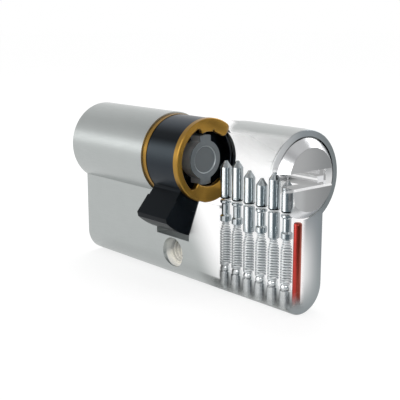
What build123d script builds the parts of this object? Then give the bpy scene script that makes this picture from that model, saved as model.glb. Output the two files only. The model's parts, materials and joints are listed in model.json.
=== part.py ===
from build123d import *
import math
import os

# Double lock cylinder of the European profile, drawn at full size in millimetres.
# X runs along the barrel, +X to the outer key face, -Y is the front flank and +Z is up.
# The origin is the middle of the fixing-screw hole, from which both halves are measured.

# Housing profile
HALF_LENGTH = 30.0
BARREL_R = 8.5
WEB_WIDTH = 10.0
PROFILE_HEIGHT = 33.0
SCREW_DROP = 18.6
END_CHAMFER = 0.2

# Fixing-screw hole, with the wall at the major radius of its M5 thread
SCREW_R = 2.5
SCREW_MOUTH_R = 3.05
SCREW_MOUTH_DEPTH = 1.6

# Cam slot, with a round seat for the clip in each side
SLOT_WIDTH = 10.0
SLOT_FLOOR_DROP = 15.3
CLIP_SEAT_R = 8.65
CLIP_SEAT_DEPTH = 0.4

# Plug
PLUG_R = 6.8
PLUG_CLEARANCE = 0.06
PLUG_HEAD_STEP = 0.2
PLUG_HEAD_LENGTH = 1.6
PLUG_HEAD_CLEARANCE = 0.25
PLUG_PROUD = 1.5
PLUG_BEVEL = 1.5
PLUG_HEAD_SEAT_GAP = 0.05

# Keyway and the trough that leads a key into it
KEYWAY_WIDTH = 8.8
KEYWAY_HEIGHT = 3.0
KEYWAY_RIB_DEPTH = 1.5
KEYWAY_RIB_HEIGHT = 1.1
KEYWAY_RIB_BASE = -1.0
KEYWAY_RELIEF_WIDTH = 0.6
KEYWAY_RELIEF_DEPTH = 1.0
KEYWAY_RELIEF_BASE = -0.8
TROUGH_HEIGHT = 3.1
TROUGH_DEPTH = 1.2

# Retaining clip
CLIP_R = 8.2
CLIP_THICKNESS = 1.18
CLIP_BACK_R = 6.85
CLIP_TOP_R = 5.6
CLIP_BOTTOM_R = 5.1
CLIP_PLAY = 0.05
CLIP_TOP_ANGLES = (47.0, 108.0)
CLIP_BOTTOM_ANGLES = (236.0, 315.0)
CLIP_END_ROUND = 1.0
CLIP_ROOT_ROUND = 0.9
CLIP_NOTCH_R = 0.35
CLIP_NOTCH_ANGLE = 78.0
CLIP_EDGE = 0.15
GROOVE_R = 5.0
FLANGE_SETBACK = 0.2

# Cam
CAM_R = 8.1
CAM_SIDE_GAP = 0.08
CAM_WEB = 2.8
CAM_RECESS_CLEARANCE = 0.4
CAM_MOUTH_STEP = 0.4
CAM_MOUTH_DEPTH = 0.6
LOBE_R = 15.0
LOBE_ANGLE = -120.0
LOBE_ROOT_HALF = 2.65
LOBE_TIP_HALF = 3.75
LOBE_ROOT_AT = 8.0
LOBE_TIP_AT = 14.0
LOBE_SIDE_GAP = 0.5
LOBE_STEP_R = 10.3
LOBE_FILLET = 0.7

# Coupling that slides in the cam and locks it to one plug
COUPLING_R = 3.8
COUPLING_CLEARANCE = 0.1
COUPLING_FACE_R = 2.6
COUPLING_FACE_DEPTH = 0.25
COUPLING_EDGE = 0.15
LUG_WIDTH = 2.65
LUG_R = 4.9
TAIL_GAP = 0.2

# Pin stacks
FIRST_PIN_X = 10.0
PIN_PITCH = 3.2
PIN_D = 2.15
PIN_CLEARANCE = 0.075
SHEAR_GAP = 0.05
KEY_TIPS = (0.65, 1.0, -0.4, -1.35, 0.15, -0.9)
TIP_LENGTH = 1.25
TIP_R = 0.28
TIP_NECK_R = 0.5
PIN_CHAMFER = 0.15
DRIVER_LENGTHS = (4.2, 4.25, 5.1, 4.6, 5.0, 4.55)
SPOOL_DRIVERS = (True, True, False, True, False, True)
SPOOL_TOP = 0.5
SPOOL_FOOT = 1.1
SPOOL_WAIST_R = 0.78
SPOOL_CONE = 0.3
DRIVER_NOSE_R = 0.55
DRIVER_NOSE = 0.8

# Springs and the plugs that close the chambers from below
SPRING_SLACK = 0.1
WIRE_D = 0.3
SPRING_LEAST_PITCH = 0.76
SPRING_END_GAP = 0.06
CLOSING_LENGTH = 3.5
CLOSING_INSET = 0.15
CLOSING_CLEARANCE = 0.03
CLOSING_BALL_SLACK = 0.12
CLOSING_BALL_RISE = 0.4

# Drill-protection pin in the outer end of the web
DRILL_PIN_D = 1.5
DRILL_PIN_SETBACK = 1.4
DRILL_PIN_TOP_DROP = 7.95
DRILL_PIN_CLEARANCE = 0.03
DRILL_PIN_ROUND = 0.4

# Places that follow from the sizes above
AXIS_Z = SCREW_DROP
BOTTOM_Z = AXIS_Z + BARREL_R - PROFILE_HEIGHT
WEB_R = WEB_WIDTH / 2
SLOT_FLOOR_Z = AXIS_Z - SLOT_FLOOR_DROP
SEAT_X = SLOT_WIDTH / 2 + CLIP_SEAT_DEPTH
CLIP_OUT_X = SEAT_X - CLIP_PLAY
CLIP_IN_X = CLIP_OUT_X - CLIP_THICKNESS
CAM_HALF = CLIP_IN_X - CAM_SIDE_GAP
CAM_WEB_HALF = CAM_WEB / 2
TAIL_X = CAM_WEB_HALF + TAIL_GAP
FLANGE_R = PLUG_R - FLANGE_SETBACK
CAM_RECESS_R = FLANGE_R + CAM_RECESS_CLEARANCE
COUPLING_HOLE_R = COUPLING_R + COUPLING_CLEARANCE
BORE_R = PLUG_R + PLUG_CLEARANCE
HEAD_R = PLUG_R + PLUG_HEAD_STEP
HEAD_BORE_R = HEAD_R + PLUG_HEAD_CLEARANCE
HEAD_X = HALF_LENGTH - PLUG_HEAD_LENGTH
FACE_X = HALF_LENGTH + PLUG_PROUD
PIN_R = PIN_D / 2
CHAMBER_R = PIN_R + PIN_CLEARANCE
PIN_XS = [FIRST_PIN_X + PIN_PITCH * i for i in range(len(KEY_TIPS))]
KEY_PIN_FOOT_Z = AXIS_Z - math.sqrt(PLUG_R**2 - PIN_R**2) + 2 * SHEAR_GAP
DRIVER_TOP_Z = AXIS_Z - BORE_R - SHEAR_GAP
DRIVER_FEET_Z = [DRIVER_TOP_Z - length for length in DRIVER_LENGTHS]
CLOSING_BALL_R = CHAMBER_R - CLOSING_CLEARANCE - CLOSING_BALL_SLACK
CLOSING_FOOT_Z = BOTTOM_Z + CLOSING_INSET
CLOSING_TOP_Z = CLOSING_FOOT_Z + CLOSING_LENGTH
CLOSING_BALL_Z = CLOSING_TOP_Z + CLOSING_BALL_RISE
SPRING_R = PIN_R - SPRING_SLACK / 2
WIRE_R = WIRE_D / 2
COIL_R = SPRING_R - WIRE_R
SPRING_SEAT_Z = CLOSING_BALL_Z + math.sqrt((CLOSING_BALL_R + WIRE_R) ** 2 - COIL_R**2) - WIRE_R
SPRING_FOOT_Z = SPRING_SEAT_Z + SPRING_END_GAP
SLEEVE_BORE_R = SPRING_R - WIRE_D
SLEEVE_SEAT_Z = CLOSING_BALL_Z + math.sqrt(CLOSING_BALL_R**2 - SLEEVE_BORE_R**2)
SLEEVE_FOOT_Z = SLEEVE_SEAT_Z + SPRING_END_GAP
SPRING_TOPS_Z = [foot - SPRING_END_GAP for foot in DRIVER_FEET_Z]
DRILL_PIN_X = HALF_LENGTH - DRILL_PIN_SETBACK
DRILL_PIN_TOP_Z = AXIS_Z - DRILL_PIN_TOP_DROP
PAST = 1.0
WITHIN = 0.15


def along_barrel(section, x0, x1):
    """Extrudes a Y, Z section, drawn about the barrel axis, from x0 to x1."""
    return Pos(x0, 0, AXIS_Z) * extrude(Plane.YZ * section, amount=x1 - x0)


def upright(x, radius, z0, z1):
    """A vertical round bar on the pin row."""
    return Pos(x, 0, z0) * extrude(Circle(radius), amount=z1 - z0)


def block(x0, x1, y0, y1, z0, z1):
    """A box between two corners."""
    centre = Pos((x0 + x1) / 2, (y0 + y1) / 2, (z0 + z1) / 2)
    return centre * Box(x1 - x0, y1 - y0, z1 - z0)


def turned(points, x):
    """Turns a half profile of (radius, height) points about a vertical axis at x."""
    face = make_face(Plane.XZ * Polyline(*points, close=True))
    return Pos(x, 0, 0) * revolve(face, axis=Axis.Z)


def sector(start, end, reach):
    """A pie-shaped sketch between two angles, wide enough to reach past a radius."""
    steps = 6
    angles = [math.radians(start + (end - start) * i / steps) for i in range(steps + 1)]
    rim = [(2 * reach * math.cos(a), 2 * reach * math.sin(a)) for a in angles]
    return make_face(Polyline((0, 0), *rim, close=True))


def other_half(shape):
    """The same piece for the inner half of the lock."""
    return mirror(shape, about=Plane.YZ)


def make_half_cuts():
    """What is cut from the outer half of the housing."""
    cuts = along_barrel(Circle(BORE_R), SLOT_WIDTH / 2 - PAST, HALF_LENGTH + PAST)
    cuts += along_barrel(Circle(HEAD_BORE_R), HEAD_X - PLUG_HEAD_SEAT_GAP, HALF_LENGTH + PAST)
    cuts += along_barrel(Circle(CLIP_SEAT_R), SLOT_WIDTH / 2 - PAST, SEAT_X)
    for x in PIN_XS:
        cuts += upright(x, CHAMBER_R, BOTTOM_Z - PAST, AXIS_Z)
    return cuts


def make_housing():
    """The one-piece body: round barrel on a flat web with a round foot."""
    web_height = AXIS_Z - BOTTOM_Z - WEB_R
    section = Circle(BARREL_R) + Pos(0, -web_height / 2) * Rectangle(WEB_WIDTH, web_height)
    section += Pos(0, -web_height) * Circle(WEB_R)
    housing = along_barrel(section, -HALF_LENGTH, HALF_LENGTH)
    for end in (0, -1):
        rim = housing.faces().sort_by(Axis.X)[end].outer_wire().edges()
        housing = chamfer(rim, END_CHAMFER)
    reach = BARREL_R + PAST
    half_slot = SLOT_WIDTH / 2
    housing -= block(-half_slot, half_slot, -reach, reach, SLOT_FLOOR_Z, AXIS_Z + reach)
    half_cuts = make_half_cuts()
    housing -= half_cuts
    housing -= other_half(half_cuts)
    drill_r = DRILL_PIN_D / 2 + DRILL_PIN_CLEARANCE
    housing -= upright(DRILL_PIN_X, drill_r, BOTTOM_Z - PAST, DRILL_PIN_TOP_Z + DRILL_PIN_CLEARANCE)
    housing -= extrude(Plane.XZ * Circle(SCREW_R), amount=WEB_R + PAST, both=True)
    mouth_drop = SCREW_MOUTH_R - SCREW_R
    for side in (-1, 1):
        outside = side * (WEB_R + SCREW_MOUTH_DEPTH)
        inside = side * (WEB_R - SCREW_MOUTH_DEPTH)
        rim = SCREW_MOUTH_R + mouth_drop
        cone = Polyline((0, inside), (SCREW_R, inside), (rim, outside), (0, outside), close=True)
        housing -= revolve(make_face(cone), axis=Axis.Y)
    return housing


def lug_section(clearance):
    """Section of the coupling: a round core with a lug above and below."""
    core = Circle(COUPLING_R + clearance)
    lugs = Rectangle(LUG_WIDTH + 2 * clearance, 2 * (LUG_R + clearance)) & Circle(LUG_R + clearance)
    return core + lugs


def make_plug():
    """The outer plug: face, head, keyway, pin holes, clip groove and slotted tail."""
    face_r = HEAD_R - PLUG_BEVEL
    groove_in = CLIP_IN_X - CLIP_PLAY
    groove_out = CLIP_OUT_X + CLIP_PLAY
    outline = [
        (TAIL_X, 0),
        (TAIL_X, FLANGE_R),
        (groove_in, FLANGE_R),
        (groove_in, GROOVE_R),
        (groove_out, GROOVE_R),
        (groove_out, PLUG_R),
        (HEAD_X, PLUG_R),
        (HEAD_X, HEAD_R),
        (FACE_X - PLUG_BEVEL, HEAD_R),
        (FACE_X, face_r),
        (FACE_X, 0),
    ]
    turned_plug = revolve(make_face(Plane.XZ * Polyline(*outline, close=True)), axis=Axis.X)
    plug = Pos(0, 0, AXIS_Z) * turned_plug
    half_w = KEYWAY_WIDTH / 2
    half_h = KEYWAY_HEIGHT / 2
    bore_end = groove_out + PAST
    start = bore_end - PAST / 2
    mouth = FACE_X + PAST
    keyway = block(start, mouth, -half_w, half_w, AXIS_Z - half_h, AXIS_Z + half_h)
    rib_y = half_w - KEYWAY_RIB_DEPTH
    rib_z = AXIS_Z + KEYWAY_RIB_BASE
    keyway -= block(start + PAST, mouth + PAST, rib_y, half_w + PAST, rib_z, rib_z + KEYWAY_RIB_HEIGHT)
    plug -= keyway
    half_trough = TROUGH_HEIGHT / 2
    side = HEAD_R + PAST
    trough_x = FACE_X - TROUGH_DEPTH
    plug -= block(trough_x, mouth, -side, side, AXIS_Z - half_trough, AXIS_Z + half_trough)
    relief_x = trough_x - KEYWAY_RELIEF_DEPTH
    relief_y = half_w + KEYWAY_RELIEF_WIDTH
    relief_z = AXIS_Z + KEYWAY_RELIEF_BASE
    plug -= block(relief_x, mouth, half_w, relief_y, relief_z, AXIS_Z + half_h)
    plug -= along_barrel(Circle(COUPLING_HOLE_R), TAIL_X - PAST, bore_end)
    plug -= along_barrel(lug_section(COUPLING_CLEARANCE), TAIL_X - PAST, CAM_HALF + TAIL_GAP)
    for x in PIN_XS:
        plug -= upright(x, CHAMBER_R, AXIS_Z - PLUG_R - PAST, AXIS_Z)
    return plug


def corners_at(sketch, angles, reach):
    """The corners of a sketch that lie at one of some angles about its middle."""
    found = []
    for corner in sketch.vertices():
        turn = math.degrees(math.atan2(corner.Y, corner.X))
        off = [abs((turn - angle + 180) % 360 - 180) for angle in angles]
        if math.radians(min(off)) * reach < WITHIN:
            found.append(corner)
    return found


def make_clip():
    """The outer clip: a spring ring open at the back, with two broad arms in the plug's groove."""
    ring = Circle(CLIP_R) - Circle(CLIP_BACK_R)
    top = (Circle(CLIP_R) - Circle(CLIP_TOP_R)) & sector(*CLIP_TOP_ANGLES, CLIP_R)
    bottom = (Circle(CLIP_R) - Circle(CLIP_BOTTOM_R)) & sector(*CLIP_BOTTOM_ANGLES, CLIP_R)
    opening = sector(CLIP_BOTTOM_ANGLES[1] - 360, CLIP_TOP_ANGLES[0], CLIP_R)
    shape = ring + top + bottom - opening
    notch = math.radians(CLIP_NOTCH_ANGLE)
    ends = corners_at(shape, (CLIP_TOP_ANGLES[0], CLIP_BOTTOM_ANGLES[1]), CLIP_R)
    shape = fillet(ends, CLIP_END_ROUND)
    roots = corners_at(shape, (CLIP_TOP_ANGLES[1], CLIP_BOTTOM_ANGLES[0]), CLIP_R)
    shape = fillet([v for v in roots if math.hypot(v.X, v.Y) > CLIP_TOP_R + WITHIN], CLIP_ROOT_ROUND)
    shape -= Pos(CLIP_TOP_R * math.cos(notch), CLIP_TOP_R * math.sin(notch)) * Circle(CLIP_NOTCH_R)
    clip = along_barrel(shape, CLIP_IN_X, CLIP_OUT_X)
    return chamfer(clip.edges().filter_by_position(Axis.X, CLIP_OUT_X, CLIP_OUT_X), CLIP_EDGE)


def make_cam():
    """The cam: a ring with a recess for each plug's tail, and the lobe that throws the bolt."""
    slope = (LOBE_TIP_HALF - LOBE_ROOT_HALF) / (LOBE_TIP_AT - LOBE_ROOT_AT)
    inner = LOBE_ROOT_AT / 2
    inner_half = LOBE_ROOT_HALF - slope * (LOBE_ROOT_AT - inner)
    wedge = make_face(
        Polyline(
            (inner, -inner_half),
            (LOBE_TIP_AT, -LOBE_TIP_HALF),
            (LOBE_R + PAST, -LOBE_TIP_HALF + (LOBE_R + PAST - LOBE_TIP_AT)),
            (LOBE_R + PAST, LOBE_TIP_HALF - (LOBE_R + PAST - LOBE_TIP_AT)),
            (LOBE_TIP_AT, LOBE_TIP_HALF),
            (inner, inner_half),
            close=True,
        )
    )
    lobe = wedge & Circle(LOBE_R)
    section = Circle(CAM_R) + lobe
    roots = [v for v in section.vertices() if abs(math.hypot(v.X, v.Y) - CAM_R) < 0.01 and abs(v.Y) > 1]
    section = fillet(roots, LOBE_FILLET)
    turn = Rot(0, 0, LOBE_ANGLE)
    cam = along_barrel(turn * section, -CAM_HALF, CAM_HALF)
    lobe_half = SLOT_WIDTH / 2 - LOBE_SIDE_GAP
    cam += along_barrel(turn * (lobe - Circle(LOBE_STEP_R)), -lobe_half, lobe_half)
    for side in (-1, 1):
        for radius, depth in (
            (CAM_RECESS_R, CAM_HALF - CAM_WEB_HALF),
            (CAM_RECESS_R + CAM_MOUTH_STEP, CAM_MOUTH_DEPTH),
        ):
            near, far = sorted((side * (CAM_HALF - depth), side * (CAM_HALF + PAST)))
            cam -= along_barrel(Circle(radius), near, far)
    cam -= along_barrel(lug_section(COUPLING_CLEARANCE), -CAM_HALF, CAM_HALF)
    return cam


def make_coupling():
    """The sliding coupling, as long as its reach into one plug and the cam's web together."""
    coupling = along_barrel(lug_section(0), -CAM_WEB_HALF, CAM_HALF)
    for end in (-CAM_WEB_HALF, CAM_HALF):
        inward = COUPLING_FACE_DEPTH if end < 0 else -COUPLING_FACE_DEPTH
        near, far = sorted((end, end + inward))
        coupling -= along_barrel(Circle(COUPLING_FACE_R), near, far)
        rims = coupling.edges().filter_by_position(Axis.X, end, end)
        coupling = chamfer(rims, COUPLING_EDGE)
    return coupling


def make_key_pin(x, tip):
    """A key pin with a cone and a small blunt point that reads the key."""
    top = AXIS_Z + tip
    shoulder = top - TIP_LENGTH
    neck = top - TIP_LENGTH / 3
    return turned(
        [
            (0, KEY_PIN_FOOT_Z),
            (PIN_R - PIN_CHAMFER, KEY_PIN_FOOT_Z),
            (PIN_R, KEY_PIN_FOOT_Z + PIN_CHAMFER),
            (PIN_R, shoulder),
            (TIP_NECK_R, neck),
            (TIP_R, top),
            (0, top),
        ],
        x,
    )


def make_driver(x, foot_z, spool):
    """A driver pin, plain or drawn in like a spool, with a nose that centres its spring."""
    flange = DRIVER_TOP_Z - SPOOL_TOP
    foot = foot_z + SPOOL_FOOT
    waist = [
        (PIN_R, flange),
        (SPOOL_WAIST_R, flange - SPOOL_CONE),
        (SPOOL_WAIST_R, foot + SPOOL_CONE),
        (PIN_R, foot),
    ]
    return turned(
        [
            (0, DRIVER_TOP_Z),
            (PIN_R - PIN_CHAMFER, DRIVER_TOP_Z),
            (PIN_R, DRIVER_TOP_Z - PIN_CHAMFER),
            *(waist if spool else []),
            (PIN_R, foot_z + PIN_CHAMFER),
            (PIN_R - PIN_CHAMFER, foot_z),
            (DRIVER_NOSE_R, foot_z),
            (DRIVER_NOSE_R, foot_z - DRIVER_NOSE + PIN_CHAMFER),
            (DRIVER_NOSE_R - PIN_CHAMFER, foot_z - DRIVER_NOSE),
            (0, foot_z - DRIVER_NOSE),
        ],
        x,
    )


def helix_point(turn, pitch):
    """A point of a spring's centre line and its direction, after so many turns."""
    angle = 2 * math.pi * turn
    foot = SPRING_FOOT_Z + WIRE_R
    point = Vector(COIL_R * math.cos(angle), COIL_R * math.sin(angle), foot + pitch * turn)
    climb = pitch / (2 * math.pi)
    way = Vector(-COIL_R * math.sin(angle), COIL_R * math.cos(angle), climb).normalized()
    return point, way


def biarc(start, start_way, end, end_way):
    """Two arcs that leave start and reach end in the given directions."""
    chord = end - start
    spread = 2 * (1 - start_way.dot(end_way))
    along = chord.dot(start_way + end_way)
    reach = (math.sqrt(along**2 + spread * chord.dot(chord)) - along) / spread
    leave = start + start_way * reach
    arrive = end - end_way * reach
    middle = (leave + arrive) * 0.5
    way = (arrive - leave).normalized()
    return [TangentArc(start, middle, tangent=start_way), TangentArc(middle, end, tangent=way)]


def make_coil_spring(top_z):
    """One unbroken wire wound from the closing plug up to the driver, and its curls."""
    rise = top_z - SPRING_FOOT_Z - WIRE_D
    halves = int(2 * rise / SPRING_LEAST_PITCH)
    knots = [helix_point(i / 2, 2 * rise / halves) for i in range(halves + 1)]
    arcs = []
    for (start, start_way), (end, end_way) in zip(knots, knots[1:]):
        arcs += biarc(start, start_way, end, end_way)
    wire = Wire(arcs)
    section = Plane(origin=knots[0][0], z_dir=knots[0][1]) * Circle(WIRE_R)
    spring = sweep(section, path=wire)
    steps = 24
    line = [wire @ (i / (halves * steps / 2)) for i in range(halves * steps // 2 + 1)]
    gap = min((a - b).length for i, a in enumerate(line) for b in line[i + steps // 2 :]) - WIRE_D
    ratio = spring.volume / (math.pi * WIRE_R**2 * wire.length)
    print(f"spring: {halves / 2} curls, least gap to itself {gap:.3f} mm, volume ratio {ratio:.5f}")
    return spring


def make_sleeve_spring(top_z):
    """A hidden spring as the plain sleeve of its outer shape."""
    sleeve = upright(0, SPRING_R, SLEEVE_FOOT_Z, top_z)
    return sleeve - upright(0, SLEEVE_BORE_R, SLEEVE_FOOT_Z, top_z)


def make_closing_plugs():
    """The plugs that close the chambers, each with a ball head that its spring sits on."""
    radius = CHAMBER_R - CLOSING_CLEARANCE
    outline = [
        (0, CLOSING_FOOT_Z),
        (radius, CLOSING_FOOT_Z),
        (radius, CLOSING_TOP_Z - PIN_CHAMFER),
        (radius - PIN_CHAMFER, CLOSING_TOP_Z),
        (0, CLOSING_TOP_Z),
    ]
    plugs = []
    for x in PIN_XS:
        plugs.append(turned(outline, x) + Pos(x, 0, CLOSING_BALL_Z) * Sphere(CLOSING_BALL_R))
    return Compound(plugs)


def make_drill_pin():
    """The hardened pin that turns a drill aside."""
    pin = upright(DRILL_PIN_X, DRILL_PIN_D / 2, CLOSING_FOOT_Z, DRILL_PIN_TOP_Z)
    return fillet(pin.edges().sort_by(Axis.Z)[-1], DRILL_PIN_ROUND)


def make_all():
    """Every piece by its node's name."""
    plug = make_plug()
    clip = make_clip()
    closing = make_closing_plugs()
    nodes = {
        "housing": make_housing(),
        "plug_outer": plug,
        "plug_inner": other_half(plug),
        "clip_outer": clip,
        "clip_inner": other_half(clip),
        "cam": make_cam(),
        "coupling": make_coupling(),
        "drill_pin": make_drill_pin(),
        "closing_plugs_outer": closing,
        "closing_plugs_inner": other_half(closing),
    }
    for i, x in enumerate(PIN_XS):
        number = i + 1
        key_pin = make_key_pin(x, KEY_TIPS[i])
        driver = make_driver(x, DRIVER_FEET_Z[i], SPOOL_DRIVERS[i])
        nodes[f"key_pin_outer_{number}"] = key_pin
        nodes[f"key_pin_inner_{number}"] = other_half(key_pin)
        nodes[f"driver_pin_outer_{number}"] = driver
        nodes[f"driver_pin_inner_{number}"] = other_half(driver)
        nodes[f"pin_spring_outer_{number}"] = Pos(x, 0, 0) * make_coil_spring(SPRING_TOPS_Z[i])
        nodes[f"pin_spring_inner_{number}"] = Pos(-x, 0, 0) * make_sleeve_spring(SPRING_TOPS_Z[i])
    return nodes


os.makedirs("parts", exist_ok=True)
for name, shape in make_all().items():
    export_step(shape, f"parts/{name}.step")
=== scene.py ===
"""The looks of a double lock cylinder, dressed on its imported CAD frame.

The outer half is drawn as a ghost, as a maker's cutaway drawing is: the front of its housing and
plug fades out, so that the pins, springs, cam and clips behind it show. Sizes in the classes are in
millimetres in the frame of the CAD, and heights in the fades are taken from the axis of the barrel.
Meshes are in metres.
"""

import json
import logging
import math
from dataclasses import dataclass, replace
from enum import Enum
from typing import Any

import bmesh
import bpy
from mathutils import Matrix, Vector


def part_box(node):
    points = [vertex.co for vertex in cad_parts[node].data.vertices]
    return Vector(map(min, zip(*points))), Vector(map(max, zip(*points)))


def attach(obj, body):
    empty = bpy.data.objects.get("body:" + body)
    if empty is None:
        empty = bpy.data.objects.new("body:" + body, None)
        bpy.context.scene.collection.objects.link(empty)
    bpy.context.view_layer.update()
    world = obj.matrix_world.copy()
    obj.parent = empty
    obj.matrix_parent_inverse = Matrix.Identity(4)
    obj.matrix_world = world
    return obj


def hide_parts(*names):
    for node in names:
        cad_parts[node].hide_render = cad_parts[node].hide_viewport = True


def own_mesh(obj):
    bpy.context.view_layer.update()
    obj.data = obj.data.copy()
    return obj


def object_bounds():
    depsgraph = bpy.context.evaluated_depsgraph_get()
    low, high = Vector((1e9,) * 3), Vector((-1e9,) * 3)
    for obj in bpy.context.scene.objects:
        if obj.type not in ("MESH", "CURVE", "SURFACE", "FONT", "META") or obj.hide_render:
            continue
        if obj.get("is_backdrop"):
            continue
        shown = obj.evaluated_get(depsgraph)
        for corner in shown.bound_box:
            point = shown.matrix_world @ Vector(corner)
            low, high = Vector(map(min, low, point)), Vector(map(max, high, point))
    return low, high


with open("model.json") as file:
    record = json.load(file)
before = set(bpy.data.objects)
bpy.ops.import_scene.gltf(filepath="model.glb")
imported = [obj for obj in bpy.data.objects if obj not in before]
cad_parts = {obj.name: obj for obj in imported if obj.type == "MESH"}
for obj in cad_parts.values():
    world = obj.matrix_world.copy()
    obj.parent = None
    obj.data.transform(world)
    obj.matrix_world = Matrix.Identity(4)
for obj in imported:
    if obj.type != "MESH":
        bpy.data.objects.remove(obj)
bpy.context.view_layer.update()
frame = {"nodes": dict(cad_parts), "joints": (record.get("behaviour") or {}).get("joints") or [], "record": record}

LOG = logging.getLogger("lock_cylinder")
MM = 0.001


def linear(hex_colour: str) -> tuple[float, float, float, float]:
    """Turns an sRGB hex colour into linear light.

    Args:
        hex_colour: the colour as "#RRGGBB".

    Returns:
        Red, green, blue and alpha in linear light.
    """
    channels = []
    for start in (1, 3, 5):
        value = int(hex_colour[start : start + 2], 16) / 255
        channels.append(value / 12.92 if value <= 0.04045 else ((value + 0.055) / 1.055) ** 2.4)
    return (*channels, 1.0)


def add_node(
    tree: bpy.types.NodeTree, kind: str, inputs: dict | None = None, **settings: Any
) -> bpy.types.Node:
    """Adds a node to a tree, with its settings, values and links.

    Args:
        tree: the tree that gets the node.
        kind: the node's Blender type.
        inputs: values or sockets to link, by the input's name or index.
        **settings: the node's own properties.

    Returns:
        The new node.
    """
    node = tree.nodes.new(kind)
    for name, value in settings.items():
        setattr(node, name, value)
    for key, value in (inputs or {}).items():
        if isinstance(value, bpy.types.NodeSocket):
            tree.links.new(value, node.inputs[key])
        else:
            node.inputs[key].default_value = value
    return node


def joint_named(name: str) -> dict:
    """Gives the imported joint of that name."""
    return next(joint for joint in frame["joints"] if joint["name"] == name)


class Side(Enum):
    """The two halves of the cylinder."""

    OUTER = "outer"
    INNER = "inner"


class Measure(Enum):
    """What a fade is measured along, in millimetres."""

    ALONG = "along the barrel"
    ACROSS = "across the barrel, to the back"
    HEIGHT = "height over the axis of the barrel"
    RADIUS = "distance from the axis of the barrel"
    DEPTH = "depth behind the outline of the barrel, as the drawing shows it"
    CREST = "height over the axis, with the fade's rise towards the key end"
    DRIFT = "distance along the barrel, with the fade's lean under the pins"
    VERGE = "distance along the barrel, with the lean of the clip's and cam's edge in the drawing"
    BESIDE = "distance across the barrel, with the lean of the last pin's edge in the drawing"
    EDGE = "distance along the barrel, with the lean of the lobe's edge in the drawing"


ALONG, ACROSS, HEIGHT, RADIUS = Measure.ALONG, Measure.ACROSS, Measure.HEIGHT, Measure.RADIUS


@dataclass(frozen=True)
class Ramp:
    """A smooth rise from nothing to all, or the fall, along one measure."""

    measure: Measure
    none_at: float
    all_at: float


@dataclass(frozen=True)
class Patch:
    """A part of a surface, where all its ramps hold, and its share of the effect there."""

    ramps: tuple[Ramp, ...]
    share: float = 1.0


@dataclass(frozen=True)
class Coat:
    """A second colour of a finish and the patches where it shows."""

    colour: str
    patches: tuple[Patch, ...]


def band(measure: Measure, start: float, stop: float, soft: float) -> tuple[Ramp, Ramp]:
    """Gives the two ramps that hold between two places.

    Args:
        measure: what the band is measured along.
        start: where it begins to hold in full.
        stop: where it last holds in full.
        soft: how wide it fades outside each of them.

    Returns:
        The rise up to the start and the fall past the stop.
    """
    return Ramp(measure, start - soft, start), Ramp(measure, stop + soft, stop)


def coat(colour: str, *ramps: Ramp) -> Coat:
    """Gives a second colour that shows where all the ramps hold."""
    return Coat(colour, (Patch(ramps),))


class Gauge:
    """The measures of a fade as sockets in one material."""

    CREST_SLOPE = 0.22
    DRIFT_SLOPE = 0.7
    VERGE_SLOPE = 1.31
    BESIDE_SLOPE = 0.2
    EDGE_SLOPE = -0.41
    OUTLINE_SLOPE = 0.333

    def __init__(self, tree: bpy.types.NodeTree) -> None:
        """Reads the piece's own coordinates in millimetres from the axis of the barrel.

        Args:
            tree: the material's tree.
        """
        self.tree = tree
        axis_height = joint_named("outer_plug_turn")["pos_m"][2]
        place = add_node(tree, "ShaderNodeTexCoord").outputs["Object"]
        place = add_node(
            tree,
            "ShaderNodeVectorMath",
            {0: place, 1: (0.0, 0.0, axis_height)},
            operation="SUBTRACT",
        ).outputs[0]
        place = add_node(
            tree, "ShaderNodeVectorMath", {0: place, "Scale": 1 / MM}, operation="SCALE"
        ).outputs[0]
        parts = add_node(tree, "ShaderNodeSeparateXYZ", {0: place})
        along, across, height = parts.outputs
        flat = add_node(tree, "ShaderNodeCombineXYZ", {"Y": across, "Z": height})
        radius = add_node(tree, "ShaderNodeVectorMath", {0: flat.outputs[0]}, operation="LENGTH")
        self.place = place
        self.sockets = {
            ALONG: along,
            ACROSS: across,
            HEIGHT: height,
            RADIUS: radius.outputs["Value"],
            Measure.DEPTH: self.lean(height, -self.OUTLINE_SLOPE, across),
            Measure.CREST: self.lean(along, self.CREST_SLOPE, height),
            Measure.DRIFT: self.lean(height, self.DRIFT_SLOPE, along),
            Measure.VERGE: self.lean(height, self.VERGE_SLOPE, along),
            Measure.BESIDE: self.lean(height, self.BESIDE_SLOPE, across),
            Measure.EDGE: self.lean(height, self.EDGE_SLOPE, along),
        }

    def lean(
        self, leaning: bpy.types.NodeSocket, slope: float, upright: bpy.types.NodeSocket
    ) -> bpy.types.NodeSocket:
        """Adds a share of one measure to another.

        Args:
            leaning: the measure that is scaled.
            slope: its share.
            upright: the measure that it is added to.

        Returns:
            The sum's socket.
        """
        return add_node(
            self.tree, "ShaderNodeMath", {0: leaning, 1: slope, 2: upright}, operation="MULTIPLY_ADD"
        ).outputs[0]

    def patch(self, patch: Patch) -> bpy.types.NodeSocket:
        """Multiplies the ramps of one patch.

        Args:
            patch: the patch to draw.

        Returns:
            Its strength's socket, from 0 to its share.
        """
        strength: Any = patch.share
        for ramp in patch.ramps:
            rise = add_node(
                self.tree,
                "ShaderNodeMapRange",
                {"Value": self.sockets[ramp.measure], "From Min": ramp.none_at, "From Max": ramp.all_at},
                interpolation_type="SMOOTHSTEP",
            )
            strength = add_node(
                self.tree, "ShaderNodeMath", {0: strength, 1: rise.outputs[0]}, operation="MULTIPLY"
            ).outputs[0]
        return strength

    def most(self, patches: tuple[Patch, ...]) -> bpy.types.NodeSocket:
        """Takes the strongest of several patches at each point.

        Args:
            patches: the patches to draw.

        Returns:
            The strength's socket.
        """
        strongest = self.patch(patches[0])
        for patch in patches[1:]:
            strongest = add_node(
                self.tree, "ShaderNodeMath", {0: strongest, 1: self.patch(patch)}, operation="MAXIMUM"
            ).outputs[0]
        return strongest


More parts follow.
